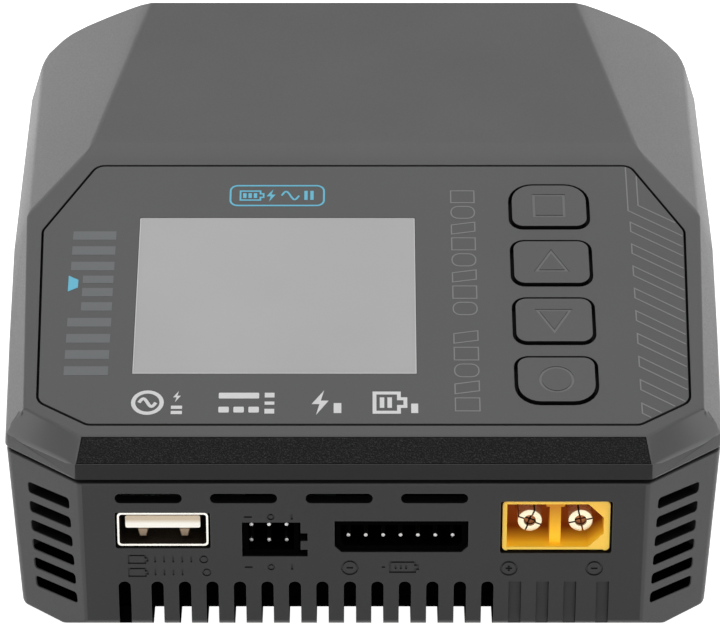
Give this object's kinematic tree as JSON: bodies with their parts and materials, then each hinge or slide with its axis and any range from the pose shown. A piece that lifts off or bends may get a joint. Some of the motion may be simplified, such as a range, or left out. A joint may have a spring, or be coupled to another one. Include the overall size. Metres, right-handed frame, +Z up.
{
  "type": "balance battery charger",
  "caption": "Desktop balance charger with sloped control panel, display, keys, yellow output connector, balance port, USB socket and rear fan.",
  "frame": {"origin": "on the ground under the middle of the case's bounding box", "axes": "+Z up from the feet; -Y is the front with the battery connectors; +X is to the right of someone facing the front"},
  "size_m": [0.1078, 0.1078, 0.0574],
  "materials": {
    "case": "fine-textured dark grey",
    "panel": "smooth dark grey",
    "key": "satin dark grey",
    "strip": "coarse grain black",
    "pane": "silver-grey display pane",
    "display_back": "stamped display frame",
    "board": "green solder mask",
    "port": "black moulding",
    "plug": "yellow moulding",
    "pin": "gold-plated",
    "tin": "tin-plated steel",
    "rubber": "soft black",
    "aluminium": "extruded",
    "ferrite": "dark grey ferrite",
    "sleeve": "printed sleeve",
    "white": "plain white ceramic or moulding"
  },
  "bodies": {
    "case": {"ac_inlet": "port", "ac_pin_a": "tin", "ac_pin_b": "tin", "balance_port": "port", "buzzer": "port", "capacitor_1": "sleeve", "capacitor_2": "sleeve", "capacitor_3": "sleeve", "capacitor_4": "sleeve", "case_screw_1": "tin", "case_screw_2": "tin", "case_screw_3": "tin", "case_screw_4": "tin", "control_panel": "panel", "fan_frame": "port", "fan_screw_1": "tin", "fan_screw_2": "tin", "fan_screw_3": "tin", "fan_screw_4": "tin", "foot_1": "rubber", "foot_2": "rubber", "foot_3": "rubber", "foot_4": "rubber", "front_strip": "strip", "fuse": "white", "heatsink": "aluminium", "inductor_1": "ferrite", "inductor_2": "ferrite", "input_plug": "plug", "input_plug_neg": "pin", "input_plug_pos": "pin", "lcd_module": "display_back", "lcd_pane": "pane", "lower_case": "case", "main_board": "board", "output_plug": "plug", "output_plug_neg": "pin", "output_plug_pos": "pin", "panel_board": "board", "rear_plate": "port", "signal_header": "port", "supply_board": "board", "switch_1": "port", "switch_2": "port", "switch_3": "port", "switch_4": "port", "transformer": "ferrite", "upper_case": "case", "usb_shell": "tin", "usb_tongue": "white"},
    "key_stop": {"key_stop": "key"},
    "key_up": {"key_up": "key"},
    "key_down": {"key_down": "key"},
    "key_enter": {"key_enter": "key"},
    "fan": {"fan_rotor": "port"}
  },
  "joints": [
    {"name": "key_stop_press", "type": "slide", "parent": "case", "child": "key_stop", "axis": [0, 0.342, -0.9397], "range_m": [0, 0.0006], "stiffness_N_per_m": 1500},
    {"name": "key_up_press", "type": "slide", "parent": "case", "child": "key_up", "axis": [0, 0.342, -0.9397], "range_m": [0, 0.0006], "stiffness_N_per_m": 1500},
    {"name": "key_down_press", "type": "slide", "parent": "case", "child": "key_down", "axis": [0, 0.342, -0.9397], "range_m": [0, 0.0006], "stiffness_N_per_m": 1500},
    {"name": "key_enter_press", "type": "slide", "parent": "case", "child": "key_enter", "axis": [0, 0.342, -0.9397], "range_m": [0, 0.0006], "stiffness_N_per_m": 1500},
    {"name": "fan_spin", "type": "hinge", "parent": "case", "child": "fan", "pos_m": [-0.0195, 0.0459, 0.025], "axis": [0, 1, 0], "continuous": true}
  ]
}
